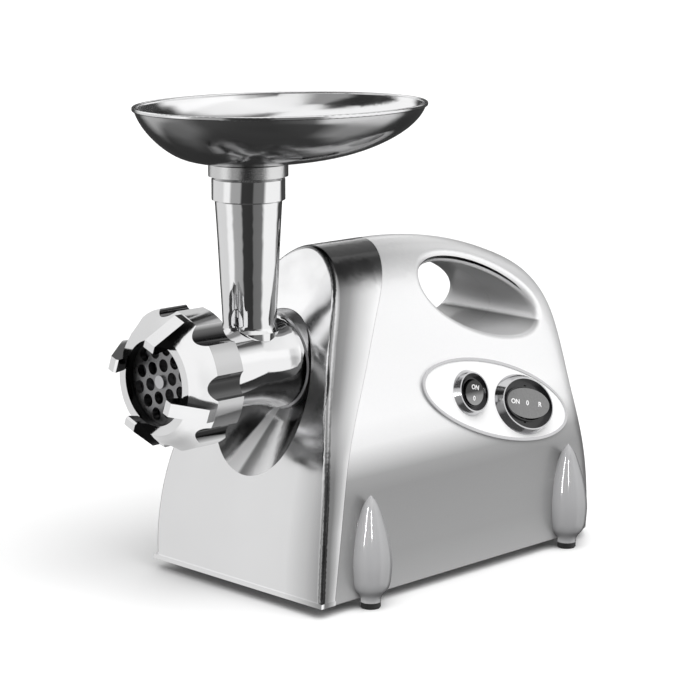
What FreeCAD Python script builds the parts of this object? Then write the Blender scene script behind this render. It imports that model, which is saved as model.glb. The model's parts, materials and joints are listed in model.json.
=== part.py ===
import FreeCAD, Part
import math
import os

# Electric meat grinder, size-5 head, all in millimetres.
# Stations (Y) are measured rearward from the bottom front edge of the body, heights (Z) from
# the surface the feet stand on, and X to the side that carries the switches. The export moves
# the origin to the middle of the overall length, under the machine.

V = FreeCAD.Vector
NODES = {}

# ---- driving dimensions: body ----
ORIGIN_STATION = 100.5      # station that becomes Y = 0
BODY_BOTTOM = 7.0           # lowest edge of the casings
BODY_HALF_WIDTH = 77.0
BODY_TOP = 213.0
BODY_REAR = 268.0
CORNER_R = 28.0             # rear upright corners, seen from above
ROOF_FLAT_END = 110.0       # station where the roof starts to fall
ROOF_FALL = 38.0            # how far it has fallen at the rear wall
ROOF_POWER = 2.25           # how late the fall sets in
SHOULDER_DROP = 9.0         # rounding of the rear wall's upper edge
HULL_START = -12.0          # the form begins ahead of the face, which trims it
HULL_STEP = 12.0            # spacing of its sections
CORNER_STEPS = 5
WALL = 2.5
PARTING_GAP = 0.15          # half of the fine gap between the shells

# half outline of the body's arch-shaped section, base edge to roof, as (x, z)
ARCH = [(77.0, 7.0), (76.6, 45.0), (72.0, 78.0), (58.0, 126.0), (44.0, 170.0), (29.0, 197.0), (0.0, 213.0)]
# side view of the leaning front face and of the seam behind it, as (station, z)
FACE = [(0.0, 0.0), (1.5, 40.0), (9.5, 80.0), (20.0, 113.0), (38.5, 160.0), (56.0, 194.0), (74.0, 228.0)]
SEAM = [(10.5, 0.0), (18.0, 52.0), (31.0, 91.0), (57.0, 134.0), (81.0, 172.0), (103.0, 200.0), (122.0, 230.0)]

# ---- driving dimensions: feed head ----
AXIS_Z = 144.0              # head, auger and output shaft share this height
NUT_FRONT = -64.0
NUT_REAR = -30.0
NUT_R = 43.0
NUT_OPENING_R = 26.0
PRONG_FRONT = -75.0
LOBES = 8
LOBE_TURN = -21.0           # degrees from +X towards +Z of the first lobe
BARREL_R = 25.0
BARREL_BORE_R = 22.3
THREAD_R = 30.0
PLATE_R = 27.0
PLATE_FRONT = -58.0
PLATE_THICK = 4.5
HOLE_PITCH = 10.4
HOLE_R = 3.95
HOLE_TURN = 16.8            # degrees the rows of plate holes are turned
TUBE_STATION = 13.7
TUBE_TOP = 261.0
THROAT_R = 19.0
FIT = 0.05                  # radial clearance of a running fit
SOCKET_R = 31.0
HEAD_TWIST = 45.0           # degrees from locked to free
STUD_R = 4.0                # auger's nose pin, which runs in the plate
KNIFE_SQUARE = 4.6          # half side of the knife's square hole
FLIGHT_PITCH = 27.0
FLIGHT_R = 21.7

# ---- driving dimensions: tray ----
TRAY_RIM_Z = 302.0
TRAY_STATION = 42.0
TRAY_HALF_X = 81.0
TRAY_HALF_Y = 98.5
TRAY_FLOOR_Z = 269.5
TRAY_SHEET = 1.2

# ---- driving dimensions: gear train, axes as (x, z) ----
PRESSURE_ANGLE = math.radians(25.0)
MOTOR_AXIS = (0.0, 62.0)
PINION_TEETH = 12
STAGE_TEETH = (60, 54, 42)
STAGE_MODULE = (1.0, 1.25, 1.75)
STAGE_STATIONS = ((96.0, 104.0), (83.0, 93.0), (66.0, 80.0))
BACKLASH = 0.08             # per flank, as a share of the module
PIN_R = 4.0
SHAFT_R = 9.0
CASE_FRONT = 60.0
CASE_REAR = 112.0

# ---- driving dimensions: motor ----
ROTOR_R = 3.5
MOTOR_STACK = (136.0, 176.0)
COMMUTATOR_R = 12.0
REAR_BRACKET = 208.0
MOTOR_SCREWS = ((-29.5, 34.5), (29.5, 89.5))      # x, z
BEARING_R = 11.0
BEARING_WIDTH = 7.0

# ---- driving dimensions: fasteners and cord inlet ----
CASING_SCREWS = ((246.0, 40.0), (252.0, 120.0), (122.0, 202.0))     # station, z
BASE_SCREWS = ((-69.0, 66.0), (69.0, 66.0), (-69.0, 204.0), (69.0, 204.0))      # x, station
GLAND_R = 8.0
GLAND_AXIS = (-22.0, 26.0)

# ---- driving dimensions: switches, on the leaning side wall ----
PANEL_CENTRE = (172.5, 107.0)       # station, z
PANEL_HALF = (67.0, 23.5)
PANEL_TILT = -17.3                  # degrees, rear end down
PANEL_PROUD = 1.2
POWER_CENTRE = (147.2, 114.8)
DIRECTION_CENTRE = (195.0, 100.5)
POWER_SWING = 14.0                  # degrees between its two positions
DIRECTION_SWING = 24.0              # degrees from ON through 0 to R
BEZEL_HEIGHT = 5.5
SWITCH_DEPTH = 16.0
ROCKER_PIVOT = 1.0                  # height of the rocker's pivot above the wall

# ---- driving dimensions: handle hole and feet ----
HANDLE_CENTRE = (183.0, 168.5)
HANDLE_HALF = (55.0, 20.5)
HANDLE_TILT = -17.5
FOOT_STATIONS = (39.5, 226.6)
FOOT_X = 79.5
PAD_X = 77.0
HANDLE_LIP = 5.0
PAD_R = 6.2
PAD_HEIGHT = 4.0


# ---- helpers ----
def add(name, shape):
    NODES[name] = shape.removeSplitter() if len(shape.Solids) == 1 else shape


def group(solids):
    return Part.makeCompound([s for shape in solids for s in shape.Solids])


def cyl_y(r, start, end, x=0.0, z=AXIS_Z):
    return Part.makeCylinder(r, end - start, V(x, start, z), V(0, 1, 0))


def tube_y(r_out, r_in, start, end, x=0.0, z=AXIS_Z):
    return cyl_y(r_out, start, end, x, z).cut(cyl_y(r_in, start - 1, end + 1, x, z))


def cyl_z(r, low, high, x, y):
    return Part.makeCylinder(r, high - low, V(x, y, low))


def cyl_x(r, start, end, y, z):
    return Part.makeCylinder(r, end - start, V(start, y, z), V(1, 0, 0))


def box(x0, x1, y0, y1, z0, z1):
    return Part.makeBox(x1 - x0, y1 - y0, z1 - z0, V(x0, y0, z0))


def spline(points):
    curve = Part.BSplineCurve()
    curve.interpolate([V(*p) for p in points])
    return curve.toShape()


def polygon(points):
    return Part.makePolygon([V(*p) for p in points] + [V(*points[0])])


def revolve_y(profile, x=0.0, z=AXIS_Z):
    """Turn a closed (radius, station) outline about a line along Y."""
    face = Part.Face(polygon([(x + r, y, z) for r, y in profile]))
    return face.revolve(V(x, 0, z), V(0, 1, 0), 360)


def revolve_z(profile, x, y):
    """Turn a closed (radius, height) outline about a vertical line."""
    face = Part.Face(polygon([(x + r, y, h) for r, h in profile]))
    return face.revolve(V(x, y, 0), V(0, 0, 1), 360)


def around_axis(shape, count, first=0.0, x=0.0, z=AXIS_Z):
    """Copies of a shape, turned from +X towards +Z about a line along Y."""
    copies = []
    for k in range(count):
        copy = shape.copy()
        copy.rotate(V(x, 0, z), V(0, 1, 0), -(first + 360.0 * k / count))
        copies.append(copy)
    return copies


def mirrored(shape):
    return shape.mirror(V(0, 0, 0), V(1, 0, 0))


# ---- body form ----
def roof_height(station, inset):
    t = max(0.0, (station - ROOF_FLAT_END) / (BODY_REAR - ROOF_FLAT_END))
    return BODY_TOP - inset - ROOF_FALL * t ** ROOF_POWER


def arch_section(inset, floor, station, narrowing=1.0, drop=0.0):
    """One closed arch across the body, inset from the outside by a wall."""
    outline = []
    for i, (x, z) in enumerate(ARCH):
        before = ARCH[max(i - 1, 0)]
        after = ARCH[i + 1] if i + 1 < len(ARCH) else (-ARCH[-2][0], ARCH[-2][1])
        length = math.hypot(after[0] - before[0], after[1] - before[1])
        nx = (after[1] - before[1]) / length
        nz = -(after[0] - before[0]) / length
        outline.append((x - inset * nx, z - inset * nz))
    rise = (roof_height(station, inset) - drop - BODY_BOTTOM) / (BODY_TOP - inset - BODY_BOTTOM)
    half = []
    for i, (x, z) in enumerate(outline):
        height = BODY_BOTTOM + (z - BODY_BOTTOM) * rise if i else floor
        half.append((x * narrowing, station, height))
    other = [(-x, y, z) for x, y, z in reversed(half[:-1])]
    arch = spline(half + other)
    base = Part.makeLine(V(*other[-1]), V(*half[0]))
    return Part.Wire([arch, base])


def hull(inset, floor=BODY_BOTTOM):
    """The whole body as one solid, from well ahead of the face to the rear wall."""
    corner = CORNER_R - inset
    start = BODY_REAR - inset - corner
    stations = int((start - HULL_START) / HULL_STEP)
    sections = []
    for k in range(stations):
        station = HULL_START + (start - HULL_START) * k / stations
        sections.append(arch_section(inset, floor, station))
    for k in range(CORNER_STEPS + 1):
        a = math.pi / 2.0 * k / CORNER_STEPS
        station = start + corner * math.sin(a)
        narrowing = 1.0 - corner * (1.0 - math.cos(a)) / (BODY_HALF_WIDTH - inset)
        sections.append(arch_section(inset, floor, station, narrowing, SHOULDER_DROP * (1.0 - math.cos(a))))
    return Part.makeLoft(sections, True, False)


def behind(profile, shift=0.0):
    """Everything to the rear of a side-view curve."""
    edge = spline([(-150.0, y + shift, z) for y, z in profile])
    first = V(-150.0, profile[0][0] + shift, profile[0][1])
    last = V(-150.0, profile[-1][0] + shift, profile[-1][1])
    far_top = V(-150.0, 400.0, last.z)
    far_low = V(-150.0, 400.0, first.z)
    lines = [Part.makeLine(last, far_top), Part.makeLine(far_top, far_low), Part.makeLine(far_low, first)]
    return Part.Face(Part.Wire([edge] + lines)).extrude(V(300.0, 0, 0))


def wall_x(z):
    """Half width of the body at a height, along the straight part of its section."""
    edge = arch_section(0.0, BODY_BOTTOM, 0.0).Edges[0]
    level = Part.makeLine(V(0.0, 0.0, z), V(150.0, 0.0, z))
    return edge.distToShape(level)[1][0][0].x


def wall_lean(z):
    step = 12.0
    return math.degrees(math.atan2(wall_x(z - step) - wall_x(z + step), 2.0 * step))


def on_wall(shape, centre, tilt):
    """Place a shape built flat (u, v, outward) on the side wall at (station, z)."""
    station, z = centre
    lean = math.radians(wall_lean(z))
    turn = math.radians(tilt)
    out = V(math.cos(lean), 0, math.sin(lean))
    up = V(-math.sin(lean), 0, math.cos(lean))
    along = V(0, 1, 0)
    u = along * math.cos(turn) + up * math.sin(turn)
    v = up * math.cos(turn) - along * math.sin(turn)
    placed = shape.copy()
    place = FreeCAD.Placement(V(wall_x(z), station, z), FreeCAD.Rotation(u, v, out, "ZXY"))
    placed.Placement = place.multiply(shape.Placement)
    return placed


def oval(half_u, half_v, low, high):
    """Upright elliptical block on the (u, v) plane; half_u is the longer half."""
    if abs(half_u - half_v) < 1e-6:
        return Part.makeCylinder(half_u, high - low, V(0, 0, low))
    edge = Part.Ellipse(V(0, 0, low), half_u, half_v).toShape()
    return Part.Face(Part.Wire([edge])).extrude(V(0, 0, high - low))


def oval_cone(half, top_half, low, high):
    """Elliptical block whose outline shrinks from its foot to its top."""
    rings = []
    for (u, v), z in ((half, low), (top_half, high)):
        if abs(u - v) < 1e-6:
            rings.append(Part.Wire([Part.makeCircle(u, V(0, 0, z))]))
        else:
            rings.append(Part.Wire([Part.Ellipse(V(0, 0, z), u, v).toShape()]))
    return Part.makeLoft(rings, True, True)


def handle_cutter(grow):
    """The through hand-hole, as an elliptical bar across the whole body."""
    bar = oval(HANDLE_HALF[0] + grow, HANDLE_HALF[1] + grow, -120.0, 120.0)
    tilt = math.radians(HANDLE_TILT)
    u = V(0, math.cos(tilt), math.sin(tilt))
    v = V(0, -math.sin(tilt), math.cos(tilt))
    bar.Placement = FreeCAD.Placement(V(0, *HANDLE_CENTRE), FreeCAD.Rotation(u, v, V(1, 0, 0), "ZXY"))
    return bar


def scoop(grow):
    """Funnel-shaped recess in the face, under and round the head's socket."""
    rear_r, rear_z, rear_station = 31.0, 145.0, 42.0
    front_r, front_z, front_station = 54.5, 114.0, -5.0
    rings = []
    for r, z, station in ((rear_r, rear_z, rear_station + grow), (front_r, front_z, front_station)):
        rings.append(Part.Wire([Part.makeCircle(r + grow, V(0, station, z), V(0, 1, 0))]))
    return Part.makeLoft(rings, True, True)


# ---- shells of the body ----
def make_body_shells():
    outer = hull(0.0)
    inner = hull(WALL, floor=BODY_BOTTOM - 6.0)
    face_side = behind(FACE)
    rim = hull(-0.8).common(box(-90, 90, -3, 30, BODY_BOTTOM, BODY_BOTTOM + 3.0)).common(behind(FACE, -0.8))

    # chrome front housing with the socket's scoop
    front = outer.common(face_side).cut(behind(SEAM, -PARTING_GAP))
    upper_edges = [e for e in front.Edges if e.BoundBox.YMax < 80 and e.BoundBox.ZMax > 20]
    front = front.makeFillet(4.5, upper_edges)
    front = front.fuse(rim.cut(behind(SEAM, -PARTING_GAP)))
    cavity = inner.common(behind(FACE, WALL * 1.1)).cut(scoop(WALL))
    front = front.cut(scoop(0.0)).cut(cavity)
    front = front.cut(cyl_y(SOCKET_R + 0.2, 30.0, 60.0))
    add("front_housing", front)

    # casing halves with the hand-hole's tunnel
    shell = outer.common(behind(SEAM, PARTING_GAP))
    tunnel = handle_cutter(0.0)
    shell = shell.cut(tunnel)
    lips = [e for e in shell.Edges if e.BoundBox.YMin > 110 and e.BoundBox.YMax < 255
            and e.BoundBox.ZMin > 130 and e.BoundBox.ZMax < 200 and e.BoundBox.XLength < 40]
    shell = shell.makeFillet(HANDLE_LIP, lips)
    cavity = inner.cut(handle_cutter(WALL)).common(behind(SEAM, -10.0))
    for side in (-1, 1):
        lip_guard = on_wall_pad(side)
        cavity = cavity.cut(lip_guard)
    shell = shell.cut(cavity)
    for k in range(6):
        z = 48.0 + 9.0 * k
        for x in (-24.0, 24.0):
            shell = shell.cut(box(x - 14.0, x + 14.0, BODY_REAR - 6.0, BODY_REAR + 6.0, z, z + 3.0))
    shell = shell.cut(cyl_y(GLAND_R, BODY_REAR - 8.0, BODY_REAR + 8.0, *GLAND_AXIS))
    right_box = box(PARTING_GAP / 2.0, 120, -20, 300, 0, 240)
    left_box = box(-120, -PARTING_GAP / 2.0, -20, 300, 0, 240)
    right = shell.common(right_box)
    left = shell.common(left_box)
    for y, z in CASING_SCREWS:
        reach = wall_x(min(z, 200.0)) + 3.0
        post = cyl_x(4.5, 0.0, reach, y, z).common(outer)
        right = right.fuse(post.common(right_box)).cut(cyl_x(1.3, -1.0, 16.0, y, z))
        post = cyl_x(5.5, -reach, 0.0, y, z).common(outer)
        left = left.fuse(post.common(left_box)).cut(cyl_x(1.8, -8.0, 1.0, y, z))
        left = left.cut(cyl_x(3.2, -reach - 5.0, -6.0, y, z))
    for x, y in BASE_SCREWS:
        boss = cyl_z(6.0, BODY_BOTTOM + 3.0, BODY_BOTTOM + 18.0, x, y).common(outer)
        pilot = cyl_z(1.9, BODY_BOTTOM, BODY_BOTTOM + 10.0, x, y)
        if x > 0:
            right = right.fuse(boss).cut(pilot)
        else:
            left = left.fuse(boss).cut(pilot)
    add("right_casing", right)
    add("left_casing", left)


def on_wall_pad(side):
    """Solid backing kept behind the rounded lip of the hand-hole."""
    pad = on_wall(oval(HANDLE_HALF[0] + HANDLE_LIP + 3.0, HANDLE_HALF[1] + HANDLE_LIP + 3.0, -11.0, 6.0),
                  HANDLE_CENTRE, HANDLE_TILT)
    return pad if side > 0 else mirrored(pad)


def make_base():
    plan = hull(WALL + 0.25, floor=BODY_BOTTOM - 2.0).common(behind(FACE, WALL + 1.0))
    plate = plan.common(box(-90, 90, -20, 300, BODY_BOTTOM, BODY_BOTTOM + 3.0))
    for k in range(9):
        y = 130.0 + 9.0 * k
        plate = plate.cut(box(-24.0, 24.0, y, y + 3.5, 0.0, 20.0))
    for x, y in BASE_SCREWS:
        plate = plate.cut(cyl_z(2.0, 0.0, 20.0, x, y))
    add("base_plate", plate)


def make_feet():
    outer = hull(0.0)
    below = box(-120, 120, -20, 300, -5.0, BODY_BOTTOM)
    drop = [(0.0, PAD_HEIGHT), (6.4, PAD_HEIGHT), (7.2, 8.0), (10.5, 12.0), (12.8, 20.0), (13.3, 28.0),
            (12.4, 38.0), (10.0, 49.0), (6.5, 60.0), (2.8, 68.0), (0.0, 71.0)]
    curve = spline([(FOOT_X + r, 0.0, z) for r, z in drop[1:]])
    ends = [Part.makeLine(V(FOOT_X, 0, drop[-1][1]), V(FOOT_X, 0, PAD_HEIGHT)),
            Part.makeLine(V(FOOT_X, 0, PAD_HEIGHT), V(FOOT_X + drop[1][0], 0, PAD_HEIGHT))]
    pod = Part.Face(Part.Wire([curve] + ends)).revolve(V(FOOT_X, 0, 0), V(0, 0, 1), 360)
    for end, station in zip(("front", "rear"), FOOT_STATIONS):
        foot = pod.copy()
        foot.translate(V(0, station, 0))
        inboard = box(0.0, PAD_X - 7.0, station - 30, station + 30, -5.0, 90.0)
        foot = foot.cut(outer).cut(inboard)
        pad = revolve_z([(0, 0), (PAD_R - 0.6, 0), (PAD_R, 0.8), (PAD_R, PAD_HEIGHT), (0, PAD_HEIGHT)],
                        FOOT_X, station)
        solids = sorted(foot.Solids, key=lambda s: s.Volume)
        add(f"foot_{end}_right", solids[-1])
        add(f"foot_{end}_left", mirrored(solids[-1]))
        add(f"pad_{end}_right", pad)
        add(f"pad_{end}_left", mirrored(pad))


# ---- switches ----
def make_switches():
    panel_block = on_wall(oval(*PANEL_HALF, -12.0, 12.0), PANEL_CENTRE, PANEL_TILT)
    ring_block = on_wall(oval(PANEL_HALF[0] + 2.0, PANEL_HALF[1] + 2.0, -12.0, 12.0), PANEL_CENTRE, PANEL_TILT)
    skin = hull(0.0)
    plate = hull(-PANEL_PROUD).common(panel_block).cut(skin)
    trim = hull(-PANEL_PROUD - 0.5).common(ring_block).cut(skin).cut(panel_block)
    sides = {
        "power": (POWER_CENTRE, (15.5, 15.5), (12.2, 12.2), (8.6, 8.6), (8.0, 8.0)),
        "direction": (DIRECTION_CENTRE, (27.0, 20.0), (23.0, 16.3), (17.8, 10.6), (17.0, 10.0)),
    }
    for name, (centre, foot, lip, hole, cap) in sides.items():
        bezel = oval_cone(foot, (lip[0] + 0.9, lip[1] + 0.9), 0.0, BEZEL_HEIGHT)
        bezel = bezel.cut(oval(*lip, -5.0, 10.0))
        bezel = on_wall(bezel, centre, PANEL_TILT)
        well = oval(*lip, -SWITCH_DEPTH, 2.2).fuse(oval(hole[0] + 0.9, hole[1] + 0.9, 0.0, 3.6))
        well = well.cut(oval(*hole, -9.0, 10.0))
        for sign in (-1, 1):
            reach = hole[0] + 2.0 if name == "power" else hole[1] + 2.0
            direction = V(sign, 0, 0) if name == "power" else V(0, sign, 0)
            well = well.cut(Part.makeCylinder(1.6, reach, V(0, 0, ROCKER_PIVOT), direction))
        well = well.cut(oval(lip[0] - 2.0, lip[1] - 2.0, -SWITCH_DEPTH + 2.0, -8.0))
        well = on_wall(well, centre, PANEL_TILT)
        through = on_wall(oval(lip[0] + 0.1, lip[1] + 0.1, -30.0, 30.0), centre, PANEL_TILT)
        plate = plate.cut(through)
        NODES["right_casing"] = NODES["right_casing"].cut(through)
        add(f"{name}_switch_bezel", bezel.cut(plate).cut(skin))
        add(f"{name}_switch_body", well)
        add(f"{name}_rocker", make_rocker(name, centre, cap))
    add("control_panel", plate)
    add("panel_trim", trim)


def make_rocker(name, centre, cap):
    """Rocker cap with two shallow facets, tilted to the position it rests in."""
    long_way = name == "direction"
    half = cap[0] if long_way else cap[1]
    across = cap[1] if long_way else cap[0]
    swing = DIRECTION_SWING if long_way else POWER_SWING
    rise = half * math.tan(math.radians(swing / 2.0)) * 0.6
    crown = 5.4 - ROCKER_PIVOT
    profile = [(-half, -2.5), (half, -2.5), (half, crown + rise * 0.4), (0, crown), (-half, crown + rise * 0.4)]
    block = Part.Face(polygon([(a, -across - 1, z) for a, z in profile])).extrude(V(0, 2 * across + 2, 0))
    if long_way:
        tilt_axis, tilt = V(0, 1, 0), -swing / 2.0
    else:
        block.rotate(V(0, 0, 0), V(0, 0, 1), 90)
        tilt_axis, tilt = V(1, 0, 0), swing / 2.0
    rocker = block.common(oval(*cap, -10.0, 20.0))
    trunnion = Part.makeCylinder(1.55, 2 * across + 3.2, V(0, 0, 0) - tilt_axis * (across + 1.6), tilt_axis)
    rocker = rocker.fuse(trunnion)
    rocker.rotate(V(0, 0, 0), tilt_axis, tilt)
    rocker.translate(V(0, 0, ROCKER_PIVOT))
    return on_wall(rocker, centre, PANEL_TILT)


# ---- feed head ----
def make_head():
    barrel = revolve_y([
        (0.0, -56.0), (THREAD_R, -56.0), (THREAD_R, -31.0), (BARREL_R + 0.5, -28.0), (BARREL_R, -26.0),
        (BARREL_R, 6.0), (25.6, 14.0), (27.0, 22.0), (28.8, 28.0), (29.6, 31.0), (29.6, 33.5),
        (24.0, 33.5), (24.0, 56.0), (0.0, 56.0)])
    tube = revolve_z([
        (0.0, AXIS_Z), (15.8, AXIS_Z), (16.5, 169.0), (17.9, 196.0), (19.2, 222.0), (20.3, 241.0),
        (20.6, 246.0), (22.5, 247.0), (22.5, 259.4), (21.9, 260.3), (21.4, TUBE_TOP), (0.0, TUBE_TOP)],
        0.0, TUBE_STATION)
    saddle = revolve_z([(0.0, AXIS_Z), (18.5, AXIS_Z + 15.0), (18.5, 166.0), (17.2, 168.0), (16.5, 171.5),
                        (0.0, 171.5)], 0.0, TUBE_STATION)
    body = barrel.fuse(tube).fuse(saddle)
    bore = cyl_y(BARREL_BORE_R, -60.0, 40.0)
    bore = bore.fuse(cyl_y(PLATE_R + FIT, -60.0, -44.0))
    bore = bore.fuse(cyl_y(SHAFT_R + FIT, 30.0, 60.0)).fuse(cyl_y(20.0, 46.0, 60.0))
    throat = revolve_z([(0.0, AXIS_Z), (13.6, AXIS_Z), (13.6, 170.0), (THROAT_R, 236.0), (THROAT_R, 248.0),
                        (20.0 + FIT, 248.0), (20.0 + FIT, 270.0), (0.0, 270.0)], 0.0, TUBE_STATION)
    body = body.cut(bore).cut(throat)
    for lug in around_axis(make_lug(), 3, 90.0):
        body = body.fuse(lug)
    key = box(-1.9, 1.9, -PLATE_THICK, 0.0, 0.0, 2.6)
    key.translate(V(0, PLATE_FRONT + PLATE_THICK + 2.0, AXIS_Z + PLATE_R - 1.9))
    add("feed_head", body.fuse(key))


def make_lug():
    """Bayonet lug, pointing along +X, that locks behind the socket's inner rim."""
    return box(23.0, 27.0, 48.5, 53.5, AXIS_Z - 5.0, AXIS_Z + 5.0).common(cyl_y(27.0, 48.0, 54.0))


def make_socket():
    ring = revolve_y([
        (24.0 + FIT, 34.2), (27.3, 34.2), (27.3, 35.4), (28.2, 35.4), (28.2, 34.4), (29.4, 34.0), (30.6, 34.8),
        (SOCKET_R, 36.4), (SOCKET_R, CASE_FRONT), (27.4, CASE_FRONT), (27.4, 48.0), (24.0 + FIT, 48.0)])
    slot = box(22.0, 27.4, 33.0, 49.0, AXIS_Z - 5.6, AXIS_Z + 5.6)
    for cut in around_axis(slot, 3, 90.0 - HEAD_TWIST):
        ring = ring.cut(cut)
    flange = tube_y(38.0, 27.4, CASE_FRONT - 6.0, CASE_FRONT)
    ring = ring.fuse(flange)
    for x, z in socket_screw_places():
        ring = ring.cut(cyl_y(1.7, CASE_FRONT - 7.0, CASE_FRONT + 1.0, x, z))
    add("head_socket", ring)


def socket_screw_places():
    """Four screws through the socket's flange, as (x, z)."""
    reach = 34.5 * math.sqrt(0.5)
    return [(sx * reach, AXIS_Z + sz * reach) for sx in (-1, 1) for sz in (-1, 1)]


def make_nut():
    nut = cyl_y(NUT_R, NUT_FRONT, NUT_REAR)
    groove = cyl_y(9.8, NUT_FRONT - 5, NUT_REAR + 5, NUT_R + 5.6, AXIS_Z)
    for cut in around_axis(groove, LOBES, LOBE_TURN + 180.0 / LOBES):
        nut = nut.cut(cut)
    cone = revolve_y([(0.0, NUT_FRONT), (31.6, NUT_FRONT), (35.6, -59.6), (40.0, -54.0), (NUT_R + 1.7, -48.5),
                      (NUT_R + 1.7, NUT_REAR - 1.6), (NUT_R, NUT_REAR), (0.0, NUT_REAR)])
    nut = nut.common(cone)
    prong = Part.Face(polygon([(r, y, AXIS_Z) for r, y in (
        (25.6, -62.0), (23.4, PRONG_FRONT + 1.4), (24.4, PRONG_FRONT), (29.0, PRONG_FRONT), (42.6, -56.0),
        (42.6, -50.0), (31.5, -50.0), (31.5, -62.0))])).extrude(V(0, 0, 9.0))
    prong.translate(V(0, 0, -4.5))
    for lug in around_axis(prong, 4, LOBE_TURN):
        nut = nut.fuse(lug)
    nut = nut.cut(cyl_y(NUT_OPENING_R, NUT_FRONT - 1.5, -57.0)).cut(cyl_y(THREAD_R + FIT, PLATE_FRONT - 0.3, 0.0))
    add("ring_nut", nut)


def make_plate():
    plate = cyl_y(PLATE_R, PLATE_FRONT, PLATE_FRONT + PLATE_THICK)
    turn = math.radians(HOLE_TURN)
    for row in range(-2, 3):
        count = 5 - abs(row)
        for k in range(count):
            u = (k - (count - 1) / 2.0) * HOLE_PITCH
            v = row * HOLE_PITCH * math.sqrt(3.0) / 2.0
            x = u * math.cos(turn) - v * math.sin(turn)
            z = u * math.sin(turn) + v * math.cos(turn)
            r = STUD_R + FIT if abs(u) + abs(v) < 1.0 else HOLE_R
            plate = plate.cut(cyl_y(r, PLATE_FRONT - 1, PLATE_FRONT + PLATE_THICK + 1, x, AXIS_Z + z))
    notch = box(-2.1, 2.1, PLATE_FRONT - 1, PLATE_FRONT + PLATE_THICK + 1, AXIS_Z + PLATE_R - 2.1, AXIS_Z + 40)
    add("cutting_plate", plate.cut(notch))


def make_knife():
    start = PLATE_FRONT + PLATE_THICK + 0.2
    knife = cyl_y(9.0, start + 0.4, start + 6.0)
    blade = Part.Face(polygon([(6.0, start, AXIS_Z - 4.5), (24.0, start, AXIS_Z - 2.5), (24.0, start, AXIS_Z + 3.5),
                               (6.0, start, AXIS_Z + 4.5)])).extrude(V(0, 5.0, 0))
    bevel = box(0.0, 30.0, start + 2.2, start + 8.0, AXIS_Z + 1.0, AXIS_Z + 8.0)
    for wing in around_axis(blade.cut(bevel), 4, 20.0):
        knife = knife.fuse(wing)
    square = box(-KNIFE_SQUARE, KNIFE_SQUARE, start - 1, start + 8, AXIS_Z - KNIFE_SQUARE, AXIS_Z + KNIFE_SQUARE)
    add("knife", knife.cut(square))


def make_auger():
    front = PLATE_FRONT + PLATE_THICK + 7.0
    rear = 38.5
    core = revolve_y([(0.0, front), (9.0, front), (11.0, rear - 4.0), (11.0, rear), (0.0, rear)])
    length = rear - front
    helix = Part.makeHelix(FLIGHT_PITCH, length, 15.0)
    profile = polygon([(8.0, 0, -2.6), (FLIGHT_R + 1.8, 0, -1.1), (FLIGHT_R + 1.8, 0, 1.1), (8.0, 0, 2.6)])
    flight = Part.Wire(helix.Edges).makePipeShell([profile], True, False)
    flight.rotate(V(0, 0, 0), V(1, 0, 0), -90)
    flight.translate(V(0, front, AXIS_Z))
    auger = core.fuse(flight).common(cyl_y(FLIGHT_R, front, rear))
    auger = auger.fuse(cyl_y(SHAFT_R, rear - 1.0, 46.6))
    auger = auger.fuse(box(-5.5, 5.5, 46.0, 56.5, AXIS_Z - 5.5, AXIS_Z + 5.5))
    side = KNIFE_SQUARE - 0.1
    auger = auger.fuse(box(-side, side, PLATE_FRONT + PLATE_THICK + 0.4, front + 1, AXIS_Z - side, AXIS_Z + side))
    auger = auger.fuse(cyl_y(STUD_R, PLATE_FRONT - 1.6, front))
    add("auger", auger)
    add("auger_washer", tube_y(17.0, SHAFT_R + 0.1, rear + 0.1, rear + 1.3))


# ---- tray ----
def tray_form(inset):
    sections = ((TRAY_FLOOR_Z, 24.6, 29.0, 14.2), (271.0, 39.0, 43.5, 20.5), (276.0, 57.0, 63.5, 29.8),
                (284.0, 69.8, 80.0, 36.8), (293.0, 77.2, 91.5, 40.7), (TRAY_RIM_Z, 80.2, 97.5, TRAY_STATION))
    rings = []
    for z, half_x, half_y, centre in sections:
        edge = Part.Ellipse(V(0, centre, z + inset * 0.9), half_y - inset, half_x - inset).toShape()
        edge.rotate(V(0, centre, 0), V(0, 0, 1), 90)
        rings.append(Part.Wire([edge]))
    return Part.makeLoft(rings, True, False)


def make_tray():
    dish = tray_form(0.0).cut(tray_form(TRAY_SHEET))
    dish = dish.common(box(-120, 120, -120, 220, 260, TRAY_RIM_Z - 0.2))
    rim = []
    for reach in (0.0, 2.4):
        edge = Part.Ellipse(V(0, TRAY_STATION, TRAY_RIM_Z - 1.2), TRAY_HALF_Y - reach, TRAY_HALF_X - reach).toShape()
        edge.rotate(V(0, TRAY_STATION, 0), V(0, 0, 1), 90)
        rim.append(Part.Face(Part.Wire([edge])).extrude(V(0, 0, 2.4)))
    bead = rim[0].cut(rim[1])
    bead = bead.makeFillet(0.8, [e for e in bead.Edges if e.BoundBox.ZLength < 0.01])
    dish = dish.fuse(bead)
    dish = dish.cut(cyl_z(THROAT_R + 1.0, 255, 290, 0.0, TUBE_STATION))
    add("tray", dish)
    neck = revolve_z([(THROAT_R, 249.0), (20.0, 249.0), (20.0, TUBE_TOP + 0.3), (24.4, TUBE_TOP + 0.3),
                      (24.4, TRAY_FLOOR_Z - 1.0), (23.6, TRAY_FLOOR_Z), (20.0, TRAY_FLOOR_Z),
                      (20.0, TRAY_FLOOR_Z + 1.0), (THROAT_R, TRAY_FLOOR_Z + 1.0)], 0.0, TUBE_STATION)
    add("tray_neck", neck)


# ---- gear train ----
def involute(radius, base):
    a = math.acos(min(1.0, base / radius))
    return math.tan(a) - a


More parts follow.
